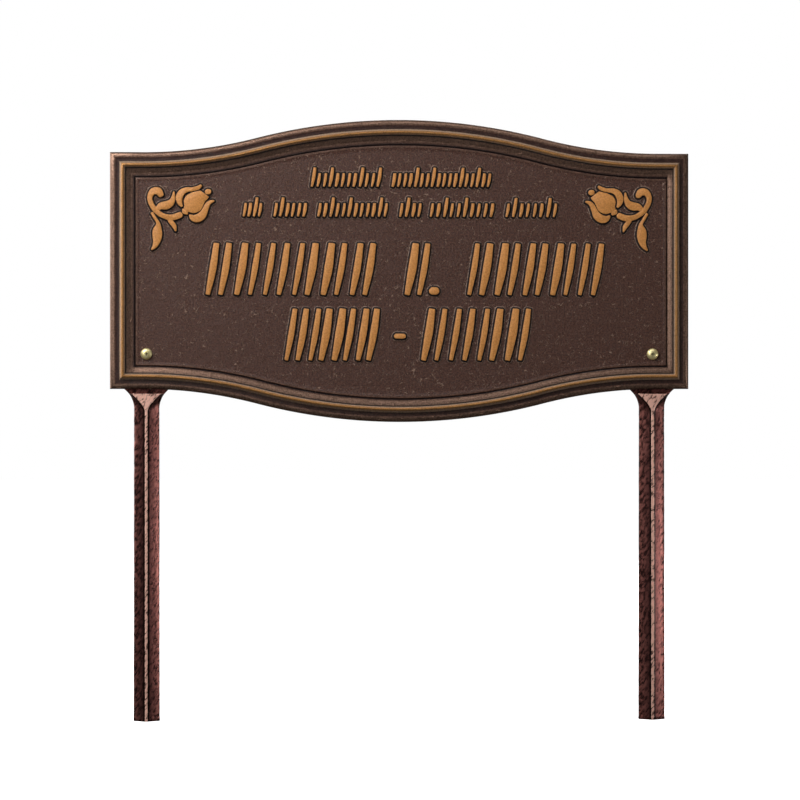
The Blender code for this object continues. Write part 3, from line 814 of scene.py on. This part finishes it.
# The shelf closes the front of the bar, and the flange climbs on from what is left open.
select_points(stake, lambda co: co.z > shelf - TOUCH and co.y < STAKE_BACK - TOUCH)
bpy.ops.mesh.edge_face_add()
select_points(stake, lambda co: co.z > shelf - TOUCH and co.y > SEAT - TOUCH)
bpy.ops.mesh.select_mode(type="EDGE")
for step in range(1, FLANGE_STEPS + 1):
    climb_to(stake, shelf + SHELF_DROP * step / FLANGE_STEPS)
for step in range(FLANGE_CORNER_STEPS + 1):
    turn = math.pi / 2 * step / FLANGE_CORNER_STEPS
    corner_height = FLANGE_TOP - FLANGE_CORNER * (1 - math.sin(turn))
    climb_to(stake, corner_height, FLANGE_CORNER * (1 - math.cos(turn)))
bpy.ops.mesh.edge_face_add()
select_points(stake, lambda co: co.y < 0)
mark_selected(stake, "crest", 1.0)
bpy.ops.mesh.select_all(action="SELECT")
bpy.ops.mesh.normals_make_consistent(inside=False)
bpy.ops.object.mode_set(mode="OBJECT")


def fix(piece, kind, **settings):
    """Adds a modifier with these settings and applies it."""
    bpy.context.view_layer.objects.active = piece
    made = piece.modifiers.new(kind.lower(), kind)
    for name, value in settings.items():
        setattr(made, name, value)
    bpy.ops.object.modifier_apply(modifier=made.name)


fix(stake, "BEVEL", width=STAKE_ARRIS, segments=2, limit_method="ANGLE", angle_limit=STAKE_BEND)
fix(stake, "SUBSURF", subdivision_type="SIMPLE", levels=2, render_levels=2)

# The hammered skin stops just above the cut at the ground, which stays flat.
hammer = bpy.data.textures.new("hammer_marks", "CLOUDS")
hammer.noise_scale = HAMMER_SIZE
hammer.noise_depth = 1
hammered = stake.vertex_groups.new(name="hammered")
hammered.add([v.index for v in stake.data.vertices if v.co.z > SAWN_FOOT], 1.0, "REPLACE")
press(stake, hammer, HAMMER_DEPTH, "hammered")
stake.data.shade_smooth()
stake.data.set_sharp_from_angle(angle=RELIEF_BEND)

# Hammered copper-vein paint: a dark red-brown, veined lighter, the veins denser towards the outer edges
# as a painted reflection. The ridge and its triangle are rubbed to bright copper with a painted
# highlight, and painted shadow lines run beside them.
VEIN_DARK = (0.060, 0.0210, 0.0190, 1)
VEIN_RED = (0.320, 0.118, 0.098, 1)
RUBBED_COPPER_HIGHLIGHT = (0.92, 0.53, 0.42, 1)
RIDGE_SHADE_BLACK = (0.005, 0.002, 0.002, 1)
VEIN_GRAIN = 620
VEIN_LEAN = 0.6
VEIN_STRETCH = 2.6
VEIN_DEPTH = 0.0003
RIDGE_SHADE_BAND = (0.76, 0.90, 0.98, 1.0)
RUB_HIGHLIGHT_EDGE = (0.965, 0.99)
RUB_HIGHLIGHT_WANDER = 0.08
LEAST_RUB_HIGHLIGHT = 0.40
PAINT_SHEEN = (0.26, 0.36)
PAINTED_METAL = 0.92
RUB_HIGHLIGHT_METAL = 0.35

copper, tree, shader, place = new_finish("hammered_copper_vein")
crest = node(tree, "Attribute", attribute_name="crest").outputs["Fac"]
slant = {"Vector": place, "Rotation": (0, VEIN_LEAN, 0), "Scale": (1, 1, VEIN_STRETCH)}
slant = node(tree, "Mapping", slant, vector_type="TEXTURE").outputs["Vector"]
vein = noise(tree, slant, VEIN_GRAIN, Detail=4, Distortion=0.4)
# The veins thin near the ridge and grow towards the outer edges: a painted reflection gradient.
vein_and_sheen_share = times(tree, ramp(tree, vein, 0.36, 0.64), ramp(tree, crest, 0.95, 0.0, 0.12, 1.0))
paint = mix(tree, vein_and_sheen_share, VEIN_DARK, VEIN_RED)
# A near-black line on both sides of the ridge: painted shadow.
paint = mix(tree, band(tree, crest, *RIDGE_SHADE_BAND), paint, RIDGE_SHADE_BLACK)
# The ridge and its triangle are painted bright copper: rubbed copper with a painted highlight.
rub_highlight_edge = plus(tree, times(tree, plus(tree, vein, -0.5), RUB_HIGHLIGHT_WANDER), crest)
rub_and_highlight = times(tree, ramp(tree, rub_highlight_edge, *RUB_HIGHLIGHT_EDGE), ramp(tree, vein, 0.34, 0.54, LEAST_RUB_HIGHLIGHT, 1.0))
tree.links.new(mix(tree, rub_and_highlight, paint, RUBBED_COPPER_HIGHLIGHT), shader.inputs["Base Color"])
tree.links.new(ramp(tree, vein, 0.35, 0.65, *PAINT_SHEEN), shader.inputs["Roughness"])
tree.links.new(ramp(tree, rub_and_highlight, 0.0, 1.0, PAINTED_METAL, RUB_HIGHLIGHT_METAL), shader.inputs["Metallic"])
dents = node(tree, "Bump", {"Height": vein, "Strength": 0.6, "Distance": VEIN_DEPTH})
tree.links.new(dents.outputs["Normal"], shader.inputs["Normal"])
stake.data.materials.append(copper)


def both_sides(piece, kind):
    """Makes the left and right copies of a piece modelled at X = 0, standing for their CAD nodes."""
    bpy.ops.object.select_all(action="DESELECT")
    piece.select_set(True)
    bpy.context.view_layer.objects.active = piece
    bpy.ops.object.duplicate()
    for copy, side, x in ((piece, "left", -STAKE_X), (bpy.context.object, "right", STAKE_X)):
        copy.name = f"{side}_{kind}_finished"
        copy.data.name = copy.name
        bpy.ops.object.select_all(action="DESELECT")
        copy.select_set(True)
        bpy.context.view_layer.objects.active = copy
        bpy.ops.transform.translate(value=(x, 0, 0))
        bpy.ops.object.transform_apply(location=True, rotation=True, scale=True)
        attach(copy, "root")
        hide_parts(f"{side}_{kind}")


both_sides(stake, "stake")

# Screws: two brass round-head machine screws, with a polished dome and a small cross recess. Each goes
# through the plaque from the front and is threaded through the flange of the stake behind it.
shank_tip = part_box("left_screw")[1].y
HEAD_WIDTH = 0.0080
HEAD_RIM = 0.0003
HEAD_HEIGHT = 0.0026
HEAD_SEAT = -PLATE_THICKNESS - SEAT
HEAD_FACETS = 40
SHANK_WIDTH = 0.0040
SHANK_NECK = 0.0002
THREAD_DEPTH = 0.00025
THREAD_PITCH = 0.0007
THREAD_TURNS = 8
THREAD_FLANK = 0.4 * THREAD_PITCH
THREAD_TOP = 0.15 * THREAD_PITCH
THREAD_ROOT = 0.05 * THREAD_PITCH
RECESS_ARM = 0.0016
RECESS_WIDTH = 0.0007
RECESS_DEPTH = 0.0011
RECESS_TAPER = 0.7
DOME_STEPS = 10


def draw_out(forward, scale):
    """Extrudes the selected face towards the front and scales it about the screw's axis."""
    bpy.ops.mesh.extrude_region_move(TRANSFORM_OT_translate={"value": (0, -forward, 0)})
    bpy.ops.transform.resize(value=(scale, 1, scale), center_override=(0, 0, SCREW_Z))


bpy.ops.object.select_all(action="DESELECT")
bpy.ops.mesh.primitive_circle_add(
    vertices=HEAD_FACETS,
    radius=SHANK_WIDTH / 2 - THREAD_DEPTH,
    fill_type="NGON",
    location=(0, shank_tip, SCREW_Z),
    rotation=(math.pi / 2, 0, 0),
)
screw = bpy.context.object
bpy.ops.object.transform_apply(location=True, rotation=True, scale=True)
bpy.ops.object.mode_set(mode="EDIT")
bpy.ops.mesh.select_mode(type="FACE")
bpy.ops.mesh.select_all(action="SELECT")
widening = SHANK_WIDTH / (SHANK_WIDTH - 2 * THREAD_DEPTH)
for turn in range(THREAD_TURNS):
    draw_out(THREAD_FLANK, widening)
    draw_out(THREAD_TOP, 1)
    draw_out(THREAD_FLANK, 1 / widening)
    draw_out(THREAD_ROOT, 1)
draw_out(SHANK_NECK, widening)
draw_out(shank_tip - SHANK_NECK - THREAD_PITCH * THREAD_TURNS - HEAD_SEAT, 1)
draw_out(0.0, HEAD_WIDTH / SHANK_WIDTH)
draw_out(HEAD_RIM, 1)
for step in range(1, DOME_STEPS):
    low_turn, high_turn = (math.pi / 2 * number / DOME_STEPS for number in (step - 1, step))
    rise = (HEAD_HEIGHT - HEAD_RIM) * (math.sin(high_turn) - math.sin(low_turn))
    draw_out(rise, math.cos(high_turn) / math.cos(low_turn))

# The open end left at the shank's tip is closed.
bpy.ops.mesh.select_all(action="SELECT")
bpy.ops.mesh.remove_doubles(threshold=TOUCH / 10)
bpy.ops.mesh.select_mode(type="EDGE")
bpy.ops.mesh.select_all(action="DESELECT")
bpy.ops.mesh.select_non_manifold()
bpy.ops.mesh.edge_face_add()
bpy.ops.mesh.select_all(action="SELECT")
bpy.ops.mesh.normals_make_consistent(inside=False)
bpy.ops.object.mode_set(mode="OBJECT")

# Two crossed wedges cut the recess into the dome, and its floor is marked to be painted dark as shade.
cutters = []
for wide, tall in ((2 * RECESS_ARM, RECESS_WIDTH), (RECESS_WIDTH, 2 * RECESS_ARM)):
    bpy.ops.object.select_all(action="DESELECT")
    bpy.ops.mesh.primitive_cube_add(size=1, location=(0, HEAD_SEAT - HEAD_HEIGHT, SCREW_Z))
    cutter = bpy.context.object
    cutter.scale = (wide, 2 * RECESS_DEPTH, tall)
    bpy.ops.object.transform_apply(location=True, rotation=True, scale=True)
    bpy.ops.object.mode_set(mode="EDIT")
    select_points(cutter, lambda co: co.y > HEAD_SEAT - HEAD_HEIGHT)
    bpy.ops.transform.resize(value=(RECESS_TAPER, 1, RECESS_TAPER), center_override=(0, 0, SCREW_Z))
    bpy.ops.object.mode_set(mode="OBJECT")
    cutters.append(cutter)
for cutter in cutters:
    fix(screw, "BOOLEAN", object=cutter, operation="DIFFERENCE", solver="EXACT")
    bpy.data.objects.remove(cutter)
bpy.ops.object.select_all(action="DESELECT")
screw.select_set(True)
bpy.context.view_layer.objects.active = screw
bpy.ops.object.mode_set(mode="EDIT")
recess_floor = HEAD_SEAT - HEAD_HEIGHT + RECESS_DEPTH
select_points(screw, lambda co: abs(co.y - recess_floor) < TOUCH and abs(co.z - SCREW_Z) < RECESS_ARM)
mark_selected(screw, "recess_shade", 1.0)
bpy.ops.object.mode_set(mode="OBJECT")
screw.data.shade_smooth()
screw.data.set_sharp_from_angle(angle=SHARP_BEND)

# Bare brass, polished unevenly by handling, with painted shade on the floor of the recess.
BRASS_DEEP = (0.74, 0.62, 0.27, 1)
BRASS_BRIGHT = (0.86, 0.76, 0.42, 1)
RECESS_SHADE = (0.03, 0.02, 0.012, 1)
POLISH_GRAIN = 900
BRASS_ROUGHNESS = (0.34, 0.46)
BRASS_METAL = 0.75

brass, tree, shader, place = new_finish("polished_brass")
wear = noise(tree, place, POLISH_GRAIN, Detail=5)
tint = mix(tree, ramp(tree, wear, 0.35, 0.65), BRASS_DEEP, BRASS_BRIGHT)
recess_shade = node(tree, "Attribute", attribute_name="recess_shade").outputs["Fac"]
# The recess floor is painted near black: painted shade.
tint = mix(tree, ramp(tree, recess_shade, 0.1, 0.7), tint, RECESS_SHADE)
tree.links.new(tint, shader.inputs["Base Color"])
tree.links.new(ramp(tree, wear, 0.3, 0.7, *BRASS_ROUGHNESS), shader.inputs["Roughness"])
shader.inputs["Metallic"].default_value = BRASS_METAL
screw.data.materials.append(brass)
both_sides(screw, "screw")

# The studio: a plain white floor, one flat sheet, that the cut stakes stand on. It glows almost as
# white as the world behind it and throws no light on the marker.
FLOOR_SIZE = 12
FLOOR_GREY = (0.93, 0.93, 0.93, 1)
FLOOR_WHITE = (0.95, 0.95, 0.95, 1)
FLOOR_SPECKLE = 40
FLOOR_GLOW = 0.97
FLOOR_ROUGHNESS = 0.9
WORLD_LIGHT = 0.08

bpy.ops.object.select_all(action="DESELECT")
bpy.ops.mesh.primitive_plane_add(size=FLOOR_SIZE)
floor = bpy.context.object
floor.name = "studio_floor"
floor_paint, tree, shader, place = new_finish("floor_white")
speckle = noise(tree, place, FLOOR_SPECKLE, Detail=3)
tree.links.new(mix(tree, speckle, FLOOR_GREY, FLOOR_WHITE), shader.inputs["Base Color"])
shader.inputs["Roughness"].default_value = FLOOR_ROUGHNESS
shader.inputs["Emission Color"].default_value = (1, 1, 1, 1)
shader.inputs["Emission Strength"].default_value = FLOOR_GLOW
floor.data.materials.append(floor_paint)
floor.visible_diffuse = False
floor.visible_glossy = False

# The world is white to the camera and lights the marker only faintly.
world = bpy.data.worlds.new("studio")
bpy.context.scene.world = world
world.use_nodes = True
tree = world.node_tree
sky = tree.nodes["Background"]
sky.inputs["Color"].default_value = (1, 1, 1, 1)
seen = node(tree, "LightPath").outputs["Is Camera Ray"]
span = {"Value": seen, "From Min": 0.0, "From Max": 1.0, "To Min": WORLD_LIGHT, "To Max": 1.0}
tree.links.new(node(tree, "MapRange", span).outputs["Result"], sky.inputs["Strength"])


def softbox(name, azimuth, elevation, distance, width, height, watts):
    """A rectangular diffuser lamp round the object, azimuth from the front to its left, in degrees."""
    middle = (cad_low + cad_high) / 2
    turn = math.radians(azimuth)
    climb = math.radians(elevation)
    away = Vector((-math.sin(turn) * math.cos(climb), -math.cos(turn) * math.cos(climb), math.sin(climb)))
    bpy.ops.object.light_add(type="AREA", location=middle + away * distance)
    lamp = bpy.context.object
    lamp.name = name
    lamp.data.shape = "RECTANGLE"
    lamp.data.size = width
    lamp.data.size_y = height
    lamp.data.energy = watts
    lamp.visible_camera = False
    lamp.rotation_euler = away.to_track_quat("Z", "Y").to_euler()


# Soft lamps from the left and above, with small ones where the worn mouldings mirror them.
softbox("key_left", azimuth=42, elevation=36, distance=1.1, width=0.28, height=0.44, watts=7.6)
softbox("rim_left", azimuth=104, elevation=12, distance=2.0, width=0.7, height=0.9, watts=15)
softbox("wing_left", azimuth=76, elevation=24, distance=0.8, width=0.40, height=0.22, watts=0.8)
softbox("sheen_left", azimuth=35, elevation=5.5, distance=2.0, width=0.25, height=0.36, watts=5.5)
softbox("sheen_right", azimuth=-70, elevation=-9, distance=0.85, width=0.14, height=0.14, watts=1.0)
softbox("overhead", azimuth=0, elevation=62, distance=0.7, width=0.8, height=0.35, watts=1.5)
softbox("back_fill", azimuth=195, elevation=28, distance=2.0, width=1.4, height=0.9, watts=30)

# The camera looks level at the marker from slightly to its left, at the photo's angle and framing.
CAMERA_DISTANCE = 2.0
CAMERA_HEIGHT = 0.2216
CAMERA_YAW = math.radians(2)
CAMERA_LENS = 130
camera_x = -CAMERA_DISTANCE * math.sin(CAMERA_YAW)
camera_y = -CAMERA_DISTANCE * math.cos(CAMERA_YAW)
bpy.ops.object.camera_add(
    location=(camera_x, camera_y, CAMERA_HEIGHT), rotation=(math.pi / 2, 0, -CAMERA_YAW)
)
camera = bpy.context.object
camera.data.lens = CAMERA_LENS
bpy.context.scene.camera = camera
bpy.context.scene.view_settings.view_transform = "Standard"
